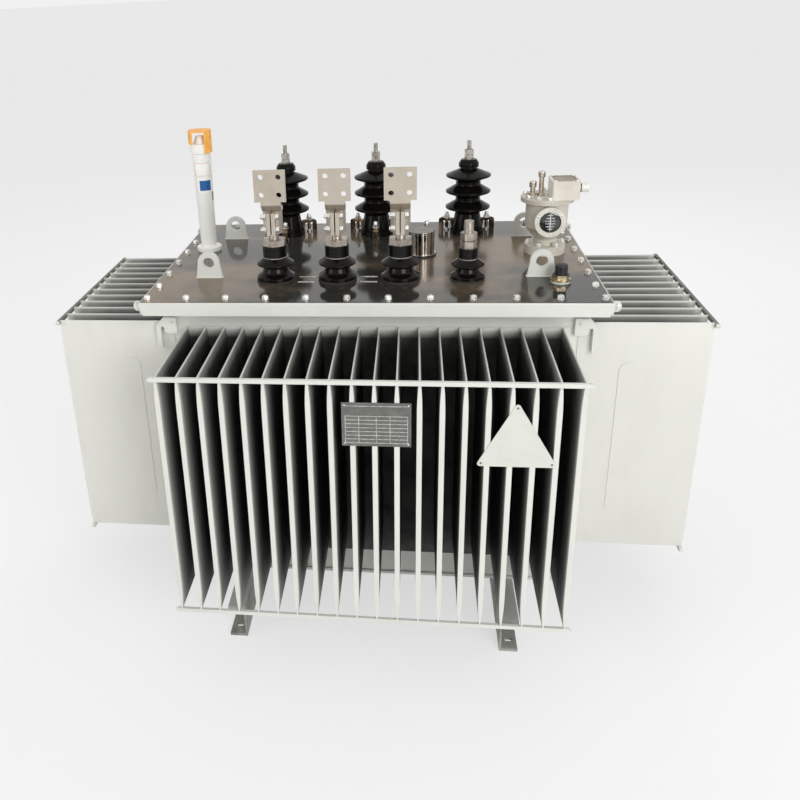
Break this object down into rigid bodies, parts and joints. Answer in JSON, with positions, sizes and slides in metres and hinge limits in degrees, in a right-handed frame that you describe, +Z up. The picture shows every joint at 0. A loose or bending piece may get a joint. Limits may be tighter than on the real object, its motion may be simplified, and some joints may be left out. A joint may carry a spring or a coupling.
{
  "type": "power transformer",
  "caption": "Oil-filled distribution transformer: finned tank on channel feet, bolted cover with dark porcelain bushings, oil level tube, gas relay and lifting lugs.",
  "frame": {"origin": "on the ground, at the middle of the base", "axes": "+X along the row of bushings, +Y to the high-voltage side at the rear, +Z up"},
  "size_m": [1.666, 1.192, 1.306],
  "materials": {
    "tank_paint": "satin light grey paint",
    "cover_steel": "glossy bare steel",
    "porcelain": "dark brown-black glaze",
    "zinc_steel": "bright zinc plated",
    "terminal_tin": "matt tinned",
    "brass": "satin",
    "chrome": "polished",
    "black_plastic": "moulded",
    "tube_grey": "silver grey",
    "cap_yellow": "moulded yellow",
    "relay_grey": "warm grey cast metal"
  },
  "bodies": {
    "root": {"base_channel_left": "tank_paint", "base_channel_right": "tank_paint", "tank_floor": "tank_paint", "tank_wall_front": "tank_paint", "tank_wall_rear": "tank_paint", "tank_wall_left": "tank_paint", "tank_wall_right": "tank_paint", "cooling_fins_front": "tank_paint", "cooling_fins_rear": "tank_paint", "cooling_fins_left": "tank_paint", "cooling_fins_right": "tank_paint", "tie_bars_front": "tank_paint", "tie_bars_rear": "tank_paint", "tie_bars_left": "tank_paint", "tie_bars_right": "tank_paint", "cover": "cover_steel", "lifting_lugs": "tank_paint", "tank_hooks": "tank_paint", "corner_ears": "tank_paint", "hv_bushing_1": "porcelain", "hv_bushing_2": "porcelain", "hv_bushing_3": "porcelain", "hv_terminals": "zinc_steel", "hv_claws": "brass", "lv_bushing_1": "porcelain", "lv_bushing_2": "porcelain", "lv_bushing_3": "porcelain", "neutral_bushing": "porcelain", "lv_collars": "black_plastic", "lv_studs": "zinc_steel", "lv_terminal_1": "terminal_tin", "lv_terminal_2": "terminal_tin", "lv_terminal_3": "terminal_tin", "oil_level_tube": "tube_grey", "oil_level_cap": "cap_yellow", "relief_can": "chrome", "relay_foot": "relay_grey", "relay_body": "relay_grey", "relay_box": "relay_grey", "relay_sight": "chrome", "relay_gland": "zinc_steel", "relay_cocks": "zinc_steel", "thermometer_pocket": "brass", "drain_valve": "tank_paint"}
  },
  "joints": []
}
